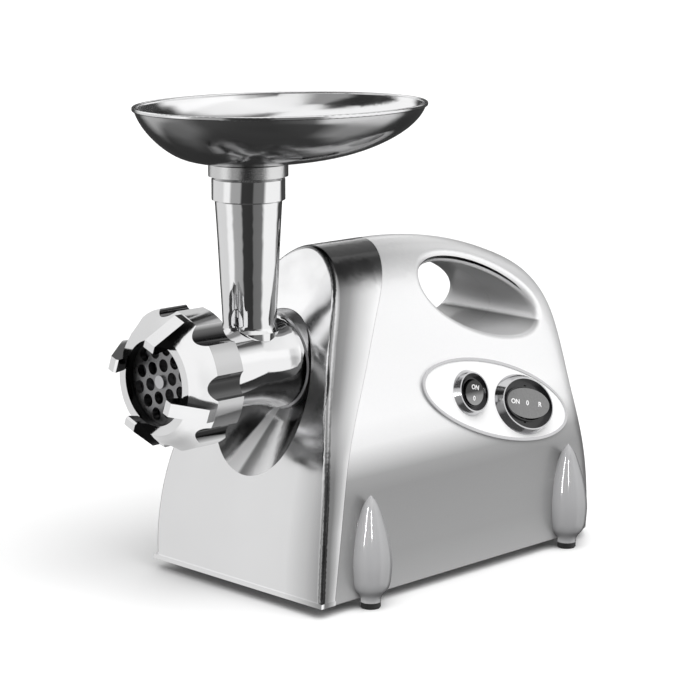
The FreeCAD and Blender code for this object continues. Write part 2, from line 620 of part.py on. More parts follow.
def gear(teeth, module, stations, centre, first_tooth):
    """Spur gear about a line along Y; first_tooth is the angle of one tooth, from +X towards +Z."""
    pitch = teeth * module / 2.0
    base = pitch * math.cos(PRESSURE_ANGLE)
    tip = pitch + 0.95 * module
    root = pitch - 1.25 * module
    half_pitch = (math.pi / 2.0 - 2.0 * BACKLASH) / teeth + involute(pitch, base)
    low = max(base, root)

    def point(radius, angle):
        return V(centre[0] + radius * math.cos(angle), stations[0], centre[1] + radius * math.sin(angle))

    edges = []
    for k in range(teeth):
        mid = first_tooth + 2.0 * math.pi * k / teeth
        following = mid + 2.0 * math.pi / teeth
        wide = half_pitch - involute(low, base)
        narrow = half_pitch - involute(tip, base)
        rise = Part.Arc(point(low, mid - wide), point(pitch, mid - half_pitch + involute(pitch, base)),
                        point(tip, mid - narrow))
        fall = Part.Arc(point(tip, mid + narrow), point(pitch, mid + half_pitch - involute(pitch, base)),
                        point(low, mid + wide))
        edges += [rise.toShape(), Part.makeLine(point(tip, mid - narrow), point(tip, mid + narrow)), fall.toShape()]
        if root < low - 1e-6:
            edges.append(Part.makeLine(point(low, mid + wide), point(root, mid + wide)))
            edges.append(Part.makeLine(point(root, mid + wide), point(root, following - wide)))
            edges.append(Part.makeLine(point(root, following - wide), point(low, following - wide)))
        else:
            edges.append(Part.makeLine(point(low, mid + wide), point(low, following - wide)))
    return Part.Face(Part.Wire(edges)).extrude(V(0, stations[1] - stations[0], 0))


def centre_distance(stage):
    return STAGE_MODULE[stage] * (PINION_TEETH + STAGE_TEETH[stage]) / 2.0


def gear_axes():
    """Axes of the two intermediate gears: the first leans left, the second closes the triangle."""
    drop = 26.83
    left = -math.sqrt(centre_distance(0) ** 2 - drop ** 2)
    first = (left, MOTOR_AXIS[1] + drop)
    dx, dz = -first[0], AXIS_Z - first[1]
    span = math.hypot(dx, dz)
    along = (centre_distance(1) ** 2 - centre_distance(2) ** 2 + span ** 2) / (2.0 * span)
    aside = math.sqrt(centre_distance(1) ** 2 - along ** 2)
    second = (first[0] + (along * dx + aside * dz) / span, first[1] + (along * dz - aside * dx) / span)
    return first, second


def angle_between(start, end):
    return math.atan2(end[1] - start[1], end[0] - start[0])


def make_gears():
    first, second = gear_axes()
    output = (0.0, AXIS_Z)
    chain = (MOTOR_AXIS, first, second, output)
    pinions = []
    wheels = []
    for stage in range(3):
        toward = angle_between(chain[stage], chain[stage + 1])
        pinions.append(gear(PINION_TEETH, STAGE_MODULE[stage], STAGE_STATIONS[stage], chain[stage], toward))
        gap = toward + math.pi + math.pi / STAGE_TEETH[stage]
        wheels.append(gear(STAGE_TEETH[stage], STAGE_MODULE[stage], STAGE_STATIONS[stage], chain[stage + 1], gap))
    add("motor_pinion", pinions[0].cut(cyl_y(ROTOR_R - 0.01, 90, 110, *MOTOR_AXIS)))
    for name, centre, wheel, pinion, low, high in (
            ("first_gear", first, wheels[0], pinions[1], 82.0, 105.5),
            ("second_gear", second, wheels[1], pinions[2], 65.0, 94.5)):
        hub = cyl_y(9.0, STAGE_STATIONS[0][0] - 1.5 if name == "first_gear" else 81.5, high, *centre)
        body = wheel.fuse(pinion).fuse(hub).fuse(cyl_y(5.6, low, high, *centre))
        add(name, body.cut(cyl_y(PIN_R + FIT, 50, 120, *centre)))
    wheel = wheels[2].cut(cyl_y(SHAFT_R + 2.0, 60, 90))
    recess = tube_y(30.5, 16.0, STAGE_STATIONS[2][0] - 1, STAGE_STATIONS[2][0] + 4)
    add("output_gear", wheel.cut(recess))
    for name, centre in (("first_gear_pin", first), ("second_gear_pin", second)):
        add(name, cyl_y(PIN_R, CASE_FRONT + 1.5, CASE_REAR - 1.5, *centre))


def case_outline(shrink, start, end):
    first, second = gear_axes()
    outline = cyl_y(42.0 - shrink, start, end)
    for r, centre in ((35.5, first), (39.0, second), (16.0, MOTOR_AXIS)):
        outline = outline.fuse(cyl_y(r - shrink, start, end, *centre))
    return outline


def ear_places():
    """Screw ears round the gear case, as (x, z)."""
    first, second = gear_axes()
    ears = []
    for centre, r, degrees in (((0.0, AXIS_Z), 42.0, 55.0), ((0.0, AXIS_Z), 42.0, 125.0),
                               (first, 35.5, 205.0), (second, 39.0, 325.0)):
        a = math.radians(degrees)
        ears.append((centre[0] + (r + 3.0) * math.cos(a), centre[1] + (r + 3.0) * math.sin(a)))
    return ears


def make_gearbox():
    first, second = gear_axes()
    case = case_outline(0.0, CASE_FRONT, CASE_REAR - 4.0)
    case = case.cut(case_outline(2.5, CASE_FRONT + 4.0, CASE_REAR))
    cover = case_outline(0.0, CASE_REAR - 4.0, CASE_REAR)
    for x, z in ear_places():
        case = case.fuse(cyl_y(5.0, CASE_REAR - 22.0, CASE_REAR - 4.0, x, z).cut(case_outline(2.5, 0, 200)))
        cover = cover.fuse(cyl_y(5.0, CASE_REAR - 4.0, CASE_REAR, x, z))
        case = case.cut(cyl_y(1.7, CASE_REAR - 16.0, CASE_REAR, x, z))
        cover = cover.cut(cyl_y(2.2, CASE_REAR - 5.0, CASE_REAR + 1.0, x, z))
    for x, z in socket_screw_places():
        case = case.cut(cyl_y(1.7, CASE_FRONT - 1.0, CASE_FRONT + 2.0, x, z))
    cover = cover.fuse(box(-36.0, 36.0, CASE_REAR - 4.0, CASE_REAR, 28.0, 96.0))
    for x, z in MOTOR_SCREWS:
        cover = cover.cut(cyl_y(2.0, CASE_REAR - 3.0, CASE_REAR + 1.0, x, z))
    for centre in (first, second):
        case = case.cut(cyl_y(PIN_R, CASE_FRONT + 1.5, CASE_REAR, *centre))
        cover = cover.cut(cyl_y(PIN_R, CASE_REAR - 4.0, CASE_REAR - 1.5, *centre))
    case = case.fuse(cyl_y(17.0, CASE_FRONT, CASE_FRONT + 5.0)).cut(cyl_y(14.0, CASE_FRONT - 1.0, CASE_FRONT + 6.0))
    cover = cover.fuse(cyl_y(14.0, CASE_REAR - 8.0, CASE_REAR))
    cover = cover.cut(cyl_y(SHAFT_R + 1.5, CASE_REAR - 9.0, CASE_REAR - 1.0))
    cover = cover.fuse(tube_y(14.0, BEARING_R, CASE_REAR, CASE_REAR + BEARING_WIDTH, *MOTOR_AXIS))
    cover = cover.cut(cyl_y(BEARING_R, CASE_REAR - 1.0, CASE_REAR + 20.0, *MOTOR_AXIS))
    cover = cover.cut(cyl_y(5.0, CASE_REAR - 5.0, CASE_REAR + 1.0, *MOTOR_AXIS))
    add("gearbox_case", case)
    add("gearbox_cover", cover)
    add("output_bush", tube_y(14.0, SHAFT_R + FIT, CASE_FRONT - 1.0, CASE_FRONT + 5.0))
    add("rear_bush", tube_y(SHAFT_R + 1.5, 7.0 + FIT, CASE_REAR - 8.0, CASE_REAR - 1.0))
    shaft = cyl_y(SHAFT_R, 58.0, 81.0).fuse(cyl_y(7.0, 80.0, CASE_REAR - 1.5))
    shaft = shaft.fuse(cyl_y(SHAFT_R + 2.0, STAGE_STATIONS[2][0], STAGE_STATIONS[2][1]))
    shaft = shaft.fuse(cyl_y(12.5, 47.2, 58.0))
    shaft = shaft.cut(box(-5.6, 5.6, 40.0, 57.2, AXIS_Z - 5.6, AXIS_Z + 5.6))
    add("output_shaft", shaft)


# ---- motor ----
def make_motor():
    x, z = MOTOR_AXIS
    start, end = MOTOR_STACK
    add("rotor_shaft", cyl_y(ROTOR_R, 95.0, 222.0, x, z))
    core = cyl_y(22.0, start, end, x, z)
    for slot in around_axis(box(15.0, 24.0, start - 1, end + 1, z - 1.6, z + 1.6), 12, 0.0, x, z):
        core = core.cut(slot)
    add("rotor_core", core.cut(cyl_y(ROTOR_R, start - 1, end + 1, x, z)))
    windings = [tube_y(17.5, ROTOR_R + 1.5, start - 9.0, start, x, z), tube_y(17.5, ROTOR_R + 1.5, end, end + 9.0, x, z)]
    add("rotor_windings", group(windings))
    commutator = tube_y(COMMUTATOR_R, ROTOR_R, end + 12.0, end + 28.0, x, z)
    for cut in around_axis(box(10.5, 14.0, end + 11, end + 29, z - 0.3, z + 0.3), 18, 5.0, x, z):
        commutator = commutator.cut(cut)
    add("commutator", commutator)
    fan = tube_y(9.0, ROTOR_R, start - 16.0, start - 10.0, x, z)
    fan = fan.fuse(tube_y(26.0, 8.0, start - 11.5, start - 10.0, x, z))
    for blade in around_axis(box(8.0, 26.0, start - 16.0, start - 10.0, z - 0.8, z + 0.8), 12, 0.0, x, z):
        fan = fan.fuse(blade)
    add("motor_fan", fan)

    stator = box(x - 36.0, x + 36.0, start, end, z - 34.0, z + 34.0)
    stator = stator.makeFillet(8.0, [e for e in stator.Edges if e.BoundBox.YLength > 30])
    window = cyl_y(22.6, start - 1, end + 1, x, z)
    for side in (-1, 1):
        window = window.fuse(box(x + side * 22.0 - 9.0, x + side * 22.0 + 9.0, start - 1, end + 1, z - 20.0, z + 20.0))
    stator = stator.cut(window)
    for place in MOTOR_SCREWS:
        stator = stator.cut(cyl_y(2.2, start - 1, end + 1, *place))
    add("stator_core", stator)
    coils = []
    for side in (-1, 1):
        block = box(x + side * 27.0 - 3.6, x + side * 27.0 + 3.6, start - 7.0, end + 7.0, z - 19.5, z + 19.5)
        coils.append(block.makeFillet(2.0, [e for e in block.Edges if e.BoundBox.YLength > 30]))
    add("field_coils", group(coils))
    rear_plate = box(x - 34.0, x + 34.0, REAR_BRACKET, REAR_BRACKET + 3.0, z - 14.0, z + 14.0)
    for (px, pz), side in zip(MOTOR_SCREWS, (-1, 1)):
        pillar = cyl_y(5.0, end, REAR_BRACKET + 3.0, px, pz)
        rib = box(*sorted((x + side * 34.0, x + side * 25.0)), REAR_BRACKET, REAR_BRACKET + 3.0, *sorted((z, pz)))
        rear_plate = rear_plate.fuse(pillar).fuse(rib)
        rear_plate = rear_plate.cut(cyl_y(2.2, end - 1, REAR_BRACKET + 9, px, pz))
    rear_plate = rear_plate.fuse(cyl_y(14.0, REAR_BRACKET, REAR_BRACKET + 9.0, x, z))
    rear_plate = rear_plate.cut(cyl_y(BEARING_R, REAR_BRACKET + 2.0, REAR_BRACKET + 10.0, x, z))
    rear_plate = rear_plate.cut(cyl_y(5.0, REAR_BRACKET - 1.0, REAR_BRACKET + 10.0, x, z))
    add("motor_rear_bracket", rear_plate)
    posts = [tube_y(4.5, 2.2, CASE_REAR, start, *place) for place in MOTOR_SCREWS]
    add("motor_spacers", group(posts))
    for name, low in (("front_bearing", CASE_REAR), ("rear_bearing", REAR_BRACKET + 2.0)):
        add(name, tube_y(BEARING_R, ROTOR_R + 0.02, low, low + BEARING_WIDTH, x, z))
    holders = []
    brushes = []
    for side in (-1, 1):
        low, high = sorted((side * 15.0, side * 32.0))
        holder = box(x + low, x + high, end + 15.0, REAR_BRACKET, z - 5.0, z + 5.0)
        holders.append(holder.cut(box(x + low - 1, x + high + 1, end + 17.0, end + 25.0, z - 3.2, z + 3.2)))
        low, high = sorted((side * (COMMUTATOR_R + 0.3), side * 26.0))
        brushes.append(box(x + low, x + high, end + 17.4, end + 24.6, z - 3.0, z + 3.0))
    add("brush_holders", group(holders))
    add("carbon_brushes", group(brushes))


# ---- fasteners and cord inlet ----
def screw(shank_r, shank_length, head_r, head_height, recess_r):
    """Pan-head screw along +Z: shank below zero, head above, hexagonal socket."""
    body = Part.makeCylinder(shank_r, shank_length, V(0, 0, -shank_length))
    head = Part.makeCylinder(head_r, head_height)
    head = head.makeFillet(head_height * 0.45, [e for e in head.Edges if e.BoundBox.ZMin > head_height - 0.01])
    corners = [(recess_r * math.cos(math.pi * k / 3), recess_r * math.sin(math.pi * k / 3), head_height * 0.4)
               for k in range(6)]
    socket = Part.Face(polygon(corners)).extrude(V(0, 0, head_height))
    return body.fuse(head).cut(socket)


def placed_screws(pattern, places, direction):
    solids = []
    for x, y, z in places:
        copy = pattern.copy()
        copy.Placement = FreeCAD.Placement(V(x, y, z), FreeCAD.Rotation(V(0, 0, 1), direction))
        solids.append(copy)
    return group(solids)


def make_fasteners():
    places = [(-6.0, y, z) for y, z in CASING_SCREWS]
    add("casing_screws", placed_screws(screw(1.3, 20.0, 3.0, 2.2, 1.3), places, V(-1, 0, 0)))
    places = [(x, y, BODY_BOTTOM) for x, y in BASE_SCREWS]
    add("base_screws", placed_screws(screw(1.9, 9.0, 3.4, 2.0, 1.4), places, V(0, 0, -1)))
    places = [(x, CASE_REAR, z) for x, z in ear_places()]
    add("gearbox_screws", placed_screws(screw(1.7, 16.0, 3.4, 2.4, 1.5), places, V(0, 1, 0)))
    places = [(x, REAR_BRACKET + 3.0, z) for x, z in MOTOR_SCREWS]
    reach = REAR_BRACKET + 3.0 - CASE_REAR + 3.0
    add("motor_screws", placed_screws(screw(2.0, reach, 3.8, 2.6, 1.7), places, V(0, 1, 0)))
    places = [(x, CASE_FRONT - 6.0, z) for x, z in socket_screw_places()]
    add("socket_screws", placed_screws(screw(1.7, 8.0, 2.9, 2.0, 1.4), places, V(0, -1, 0)))


def make_gland():
    x, z = GLAND_AXIS
    gland = revolve_y([(3.6, BODY_REAR - 12.0), (GLAND_R - 0.1, BODY_REAR - 12.0), (GLAND_R - 0.1, BODY_REAR),
                       (GLAND_R + 2.5, BODY_REAR), (GLAND_R + 2.0, BODY_REAR + 2.5), (6.2, BODY_REAR + 7.0),
                       (5.4, BODY_REAR + 8.0), (3.6, BODY_REAR + 8.0)], x, z)
    add("cord_gland", gland)


def main():
    make_body_shells()
    make_base()
    make_feet()
    make_switches()
    make_head()
    make_socket()
    make_nut()
    make_plate()
    make_knife()
    make_auger()
    make_tray()
    make_gears()
    make_gearbox()
    make_motor()
    make_fasteners()
    make_gland()
    os.makedirs("parts", exist_ok=True)
    for name, shape in NODES.items():
        shape = shape.copy()
        shape.translate(V(0, -ORIGIN_STATION, 0))
        shape.exportStep(f"parts/{name}.step")


if __name__ == "__main__":
    main()
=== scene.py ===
import json
import math

import bpy
from mathutils import Matrix, Vector


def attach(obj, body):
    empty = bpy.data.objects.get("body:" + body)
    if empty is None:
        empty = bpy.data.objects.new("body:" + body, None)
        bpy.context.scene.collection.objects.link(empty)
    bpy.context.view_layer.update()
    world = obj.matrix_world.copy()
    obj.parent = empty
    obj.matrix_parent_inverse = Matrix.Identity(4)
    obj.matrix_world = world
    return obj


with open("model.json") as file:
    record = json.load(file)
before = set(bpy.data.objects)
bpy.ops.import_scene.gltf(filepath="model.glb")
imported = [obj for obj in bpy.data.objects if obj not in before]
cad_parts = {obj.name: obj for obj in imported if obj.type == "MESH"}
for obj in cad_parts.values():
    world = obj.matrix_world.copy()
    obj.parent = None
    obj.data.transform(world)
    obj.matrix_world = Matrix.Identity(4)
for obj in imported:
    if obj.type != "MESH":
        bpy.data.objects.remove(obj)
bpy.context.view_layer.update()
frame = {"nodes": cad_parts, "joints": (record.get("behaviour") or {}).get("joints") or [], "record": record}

# Lengths are in metres and angles in degrees, except where a line says otherwise.
JOINTS = {joint["name"]: joint for joint in frame["joints"]}

# ---- camera ----
CAMERA_AT = (1.0129, -1.0124, 0.4266)
CAMERA_AZIMUTH = 45.0
CAMERA_DOWN = 11.28
LENS_MM = 116.6
SENSOR_MM = 36.0

# ---- sky: brightness by degrees round from the studio's front, positive to the camera's right ----
FRONT_AZIMUTH = math.radians(-45.0)     # the studio's front, counted from +X towards +Y
LEVEL_BAND = [(-180, 0.06), (-148, 0.06), (-134, 0.75), (-86, 0.74), (-76, 1.0), (-60, 1.0), (-52, 0.40),
              (-24, 0.38), (-18, 0.04), (15, 0.035), (20, 0.16), (50, 0.18), (60, 1.0), (116, 1.0),
              (128, 0.06), (180, 0.06)]
HIGH_BAND = [(-180, 0.9), (-150, 1.0), (-60, 1.1), (-45, 0.45), (-30, 0.05), (25, 0.05), (48, 0.5), (62, 1.1),
             (108, 1.1), (118, 0.02), (142, 0.02), (152, 0.95), (180, 0.9)]
TOP_BAND = [(-180, 1.0), (-152, 1.0), (-126, 1.0), (-116, 0.03), (-60, 0.03), (-44, 0.30), (-8, 0.30),
            (12, 0.9), (60, 1.0), (100, 0.9), (114, 0.10), (134, 0.08), (146, 1.0), (180, 1.0)]
LOW_BAND = [(-180, 0.06), (-140, 0.08), (-115, 0.30), (-85, 0.33), (-60, 0.12), (-15, 0.08), (20, 0.07),
            (60, 0.10), (85, 0.50), (108, 0.50), (130, 0.10), (180, 0.05)]
ZENITH = 1.0
NADIR = 0.09
# what takes over from the level band, and between which heights of the unit direction to the sky
SKY_LAYERS = [(HIGH_BAND, 0.18, 0.36), (TOP_BAND, 0.48, 0.60), (ZENITH, 0.97, 1.0),
              (LOW_BAND, -0.50, -0.64), (NADIR, -0.80, -0.92)]

# ---- places on the object ----
ORIGIN_STATION = 0.1005                 # stations are counted rearward from the body's bottom front edge
HEAD_HEIGHT = JOINTS["nut_unscrew"]["pos_m"][2]
HANDLE_STATION, HANDLE_HEIGHT = 0.183, 0.1685
HANDLE_TILT = math.radians(-17.5)
HANDLE_HALF_LENGTH, HANDLE_HALF_HEIGHT = 0.055, 0.0205
SCOOP_HEIGHT, SCOOP_RADIUS = 0.122, 0.0555
SCOOP_FAN_HEIGHT = 0.130                # the scoop's tones fan out from this height

UP = (0.0, 0.0, 1.0)
FORWARD = (0.0, -1.0, 0.0)
SIDEWAYS = (1.0, 0.0, 0.0)
NOISE_RANGE = (0.3, 0.7)                # nearly all of a noise texture's values lie in it
COLOR_A, COLOR_B = 6, 7                 # a Mix node's colour inputs
COLOR_MIX = 2                           # and its colour output


# ---- nodes ----
def connect(tree, source, socket):
    """Feeds a socket from another one, or sets it to a number."""
    if not isinstance(source, float):
        tree.links.new(source, socket)
    elif socket.type == "RGBA":
        socket.default_value = (source, source, source, 1.0)
    else:
        socket.default_value = source


def gray_stops(stops, low, high):
    """Ramp stops for greys given as (value, tone), where values run from low to high."""
    return [((value - low) / (high - low), (tone, tone, tone)) for value, tone in stops]


def color_ramp(tree, source, stops):
    node = tree.nodes.new("ShaderNodeValToRGB")
    elements = node.color_ramp.elements
    while len(elements) < len(stops):
        elements.new(0.5)
    for element, (position, color) in zip(elements, stops):
        element.position = position
        element.color = (*color, 1.0)
    tree.links.new(source, node.inputs["Fac"])
    return node.outputs["Color"]


def math_node(tree, operation, a, b=None):
    node = tree.nodes.new("ShaderNodeMath")
    node.operation = operation
    connect(tree, a, node.inputs[0])
    if b is not None:
        connect(tree, b, node.inputs[1])
    return node.outputs["Value"]


def map_range(tree, source, low, high, to_low=0.0, to_high=1.0, kind="LINEAR"):
    node = tree.nodes.new("ShaderNodeMapRange")
    node.interpolation_type = kind
    node.inputs["From Min"].default_value = low
    node.inputs["From Max"].default_value = high
    node.inputs["To Min"].default_value = to_low
    node.inputs["To Max"].default_value = to_high
    tree.links.new(source, node.inputs["Value"])
    return node.outputs["Result"]


def smooth_step(tree, source, low, high):
    return map_range(tree, source, low, high, kind="SMOOTHSTEP")


def mix_colors(tree, factor, a, b, blend="MIX"):
    node = tree.nodes.new("ShaderNodeMix")
    node.data_type = "RGBA"
    node.blend_type = blend
    connect(tree, factor, node.inputs["Factor"])
    connect(tree, a, node.inputs[COLOR_A])
    connect(tree, b, node.inputs[COLOR_B])
    return node.outputs[COLOR_MIX]


class Shader:
    """A procedural material, written as a few calls."""

    def __init__(self, name, color, metallic=0.0, roughness=0.4):
        self.material = bpy.data.materials.new(name)
        self.material.use_nodes = True
        self.tree = self.material.node_tree
        self.surface = self.tree.nodes["Principled BSDF"]
        self.color = color
        self.roughness = roughness
        self.surface.inputs["Base Color"].default_value = (*color, 1.0)
        self.surface.inputs["Metallic"].default_value = metallic
        self.surface.inputs["Roughness"].default_value = roughness
        self.place = self.tree.nodes.new("ShaderNodeTexCoord")
        self.height = None

    def set(self, **sockets):
        for name, value in sockets.items():
            self.surface.inputs[name.replace("_", " ")].default_value = value
        return self

    def noise(self, scale, detail=3.0, stretch=(1.0, 1.0, 1.0)):
        mapping = self.tree.nodes.new("ShaderNodeMapping")
        mapping.inputs["Scale"].default_value = stretch
        self.tree.links.new(self.place.outputs["Object"], mapping.inputs["Vector"])
        node = self.tree.nodes.new("ShaderNodeTexNoise")
        node.inputs["Scale"].default_value = scale
        node.inputs["Detail"].default_value = detail
        self.tree.links.new(mapping.outputs["Vector"], node.inputs["Vector"])
        return node.outputs["Fac"]

    def tint(self, source, spread):
        """The colour drifts a little lighter and darker with source."""
        dark = tuple(c * (1.0 - spread) for c in self.color)
        light = tuple(min(1.0, c * (1.0 + spread)) for c in self.color)
        tone = color_ramp(self.tree, source, list(zip(NOISE_RANGE, (dark, light))))
        self.tree.links.new(tone, self.surface.inputs["Base Color"])
        return self

    def rough(self, source, spread):
        """The roughness drifts by spread either way with source."""
        low, high = max(0.02, self.roughness - spread), self.roughness + spread
        rough = map_range(self.tree, source, *NOISE_RANGE, low, high)
        self.tree.links.new(rough, self.surface.inputs["Roughness"])
        return self

    def bump(self, source, distance):
        node = self.tree.nodes.new("ShaderNodeBump")
        node.inputs["Distance"].default_value = distance
        node.inputs["Strength"].default_value = 1.0
        self.tree.links.new(source, node.inputs["Height"])
        if self.height:
            self.tree.links.new(self.height, node.inputs["Normal"])
        self.height = node.outputs["Normal"]
        self.tree.links.new(self.height, self.surface.inputs["Normal"])
        return self

    def math(self, operation, a, b=None):
        return math_node(self.tree, operation, a, b)

    def step(self, source, low, high):
        return smooth_step(self.tree, source, low, high)

    def hypotenuse(self, a, b):
        squares = [self.math("MULTIPLY", side, side) for side in (a, b)]
        return self.math("SQRT", self.math("ADD", *squares))

    def facing(self, direction):
        """How squarely the surface faces a direction, from -1 to 1."""
        geometry = self.tree.nodes.new("ShaderNodeNewGeometry")
        node = self.tree.nodes.new("ShaderNodeVectorMath")
        node.operation = "DOT_PRODUCT"
        node.inputs[1].default_value = direction
        self.tree.links.new(geometry.outputs["Normal"], node.inputs[0])
        return node.outputs["Value"]

    def coordinates(self):
        """Across, station and height of the shaded point."""
        split = self.tree.nodes.new("ShaderNodeSeparateXYZ")
        self.tree.links.new(self.place.outputs["Object"], split.inputs["Vector"])
        return split.outputs["X"], self.math("ADD", split.outputs["Y"], ORIGIN_STATION), split.outputs["Z"]

    def radius(self, center):
        """Distance from the line that runs lengthwise at the center's height."""
        across, _, height = self.coordinates()
        return self.hypotenuse(across, self.math("SUBTRACT", height, center))

    def grade(self, source, low, high, stops):
        """Grey tone that follows source; each stop is (value of source, tone)."""
        return color_ramp(self.tree, map_range(self.tree, source, low, high), gray_stops(stops, low, high))

    def within(self, source, low, high, soft):
        return self.math("MULTIPLY", self.step(source, low - soft, low + soft),
                         self.step(source, high + soft, high - soft))

    def multiply(self, tone, mask=1.0):
        """Deepens the base colour by tone, where mask is 1."""
        base = self.surface.inputs["Base Color"]
        deeper = mix_colors(self.tree, mask, base.links[0].from_socket, tone, "MULTIPLY")
        self.tree.links.new(deeper, base)
        return self


# ---- plain materials ----
def polished(name, color, roughness, ripple):
    """Buffed metal: near-mirror, with faint buffing ripple and a little colour drift."""
    s = Shader(name, color, 1.0, roughness)
    s.tint(s.noise(14.0), 0.02)
    s.rough(s.noise(60.0, 4.0), roughness * 0.35)
    return s.bump(s.noise(38.0, 2.0), ripple)


def brushed(name, color, roughness, stretch=(1.0, 1.0, 1.0), scale=900.0, depth=0.00002):
    s = Shader(name, color, 1.0, roughness)
    grain = s.noise(scale, 3.0, stretch)
    s.tint(grain, 0.08)
    s.rough(grain, roughness * 0.35)
    return s.bump(grain, depth)


def moulded(name, color, roughness, texture=0.00003, spread=0.06):
    s = Shader(name, color, 0.0, roughness)
    s.tint(s.noise(30.0), spread)
    s.rough(s.noise(220.0, 3.0), roughness * 0.2)
    return s.bump(s.noise(900.0, 2.0), texture)


def cast(name, color, roughness):
    s = Shader(name, color, 1.0, roughness)
    s.tint(s.noise(45.0), 0.08)
    s.rough(s.noise(120.0, 4.0), 0.08)
    return s.bump(s.noise(700.0, 4.0), 0.00006)


# ---- materials with painted light: part of their light and shade is painted on as tones, placed by position and facing ----
def handle_reach(s, station, height):
    """Elliptical distance from the hand-hole's middle (1 at its wall), and the height across it."""
    rearward = s.math("SUBTRACT", station, HANDLE_STATION)
    lift = s.math("SUBTRACT", height, HANDLE_HEIGHT)
    cosine, sine = math.cos(HANDLE_TILT), math.sin(HANDLE_TILT)
    along = s.math("ADD", s.math("MULTIPLY", rearward, cosine), s.math("MULTIPLY", lift, sine))
    across = s.math("SUBTRACT", s.math("MULTIPLY", lift, cosine), s.math("MULTIPLY", rearward, sine))
    reach = s.hypotenuse(s.math("DIVIDE", along, HANDLE_HALF_LENGTH),
                         s.math("DIVIDE", across, HANDLE_HALF_HEIGHT))
    return reach, across


def silver_lacquer():
    """Satin silver under a clear coat. The darker lower wall is painted shade, the grey band along the roof
    is a painted reflection, and the hand-hole's wall carries painted shade and a thin painted highlight."""
    s = Shader("silver_lacquer", (0.93, 0.93, 0.935), 0.35, 0.34)
    s.tint(s.noise(2600.0, 1.0), 0.03)
    s.rough(s.noise(9.0), 0.03)
    s.bump(s.noise(1800.0, 2.0), 0.000004)
    _, station, height = s.coordinates()
    reach, across = handle_reach(s, station, height)
    hollow = s.within(reach, -1.0, 1.03, 0.02)
    outside = s.math("SUBTRACT", 1.0, hollow)
    # painted shade: the lower wall is darker than the upper wall
    wall = s.grade(height, 0.0, 0.22, [(0.005, 0.46), (0.030, 0.36), (0.070, 0.30), (0.080, 0.36),
                                       (0.098, 0.90), (0.112, 1.0)])
    # painted shade with a thin painted highlight across the hand-hole's wall
    hole = s.grade(across, -0.024, 0.024, [(-0.022, 0.85), (-0.012, 0.60), (-0.0035, 0.30), (-0.0022, 1.0),
                                           (-0.0010, 0.95), (0.006, 0.60), (0.020, 0.30)])
    # painted reflection: a grey band just below the roof's crown
    roof = s.grade(s.facing(UP), 0.0, 1.0, [(0.50, 1.0), (0.72, 0.82), (0.88, 0.60), (0.95, 0.72),
                                            (0.985, 1.0)])
    s.multiply(wall, outside)
    s.multiply(hole, hollow)
    s.multiply(roof, outside)
    return s.set(Coat_Weight=0.35, Coat_Roughness=0.12)


def chrome_housing():
    """Buffed chrome. Its side strip, roof band, right edge and scoop carry painted reflections and painted
    shade.
    """
    s = polished("chrome_plate", (0.96, 0.96, 0.965), 0.15, 0.00001)
    paint_housing_side_reflection(s)
    paint_housing_roof_reflection(s)
    paint_housing_face_reflection(s)
    paint_scoop_reflections(s)
    return s


def paint_housing_side_reflection(s):
    """Painted reflections run across the side strip from the housing's front edge (0) to the seam behind it
    (1): darkest just behind the edge, lighter towards the seam.
    """
    _, station, height = s.coordinates()
    # where each edge is at each height, as ten times its station
    front = s.grade(height, 0.0, 0.24, [(0.0, 0.0), (0.04, 0.015), (0.08, 0.095), (0.113, 0.20),
                                        (0.16, 0.385), (0.194, 0.56), (0.228, 0.74)])
    seam = s.grade(height, 0.0, 0.24, [(0.0, 0.105), (0.052, 0.18), (0.091, 0.31), (0.134, 0.57),
                                       (0.172, 0.81), (0.20, 1.03), (0.228, 1.20)])
    tenfold = s.math("MULTIPLY", station, 10.0)
    share = s.math("DIVIDE", s.math("SUBTRACT", tenfold, front), s.math("SUBTRACT", seam, front))
    side = s.step(s.math("ABSOLUTE", s.facing(SIDEWAYS)), 0.55, 0.80)
    low = s.grade(share, 0.0, 1.0, [(0.0, 1.0), (0.12, 0.20), (0.35, 0.22), (0.70, 0.48), (1.0, 0.85)])
    high = s.grade(share, 0.0, 1.0, [(0.0, 1.0), (0.10, 0.24), (0.30, 0.32), (0.55, 0.58), (1.0, 0.95)])
    s.multiply(low, s.math("MULTIPLY", side, s.step(height, 0.13, 0.08)))
    s.multiply(high, s.math("MULTIPLY", side, s.step(height, 0.08, 0.13)))


def paint_housing_roof_reflection(s):
    # painted reflection: a black band under a white highlight along the housing's roof shoulder
    tone = s.grade(s.facing(UP), 0.0, 1.0, [(0.55, 1.0), (0.72, 0.40), (0.84, 0.04), (0.95, 0.03),
                                            (0.985, 0.25), (0.998, 1.0)])
    s.multiply(tone, s.step(s.coordinates()[2], 0.150, 0.175))


def paint_housing_face_reflection(s):
    # painted reflection: the front face is darker towards its right (+X) edge
    tone = s.grade(s.coordinates()[0], -0.08, 0.08, [(-0.078, 0.95), (0.0, 0.98), (0.045, 0.95),
                                                     (0.062, 0.70), (0.076, 0.40)])
    s.multiply(tone, s.step(s.facing(FORWARD), 0.80, 0.95))


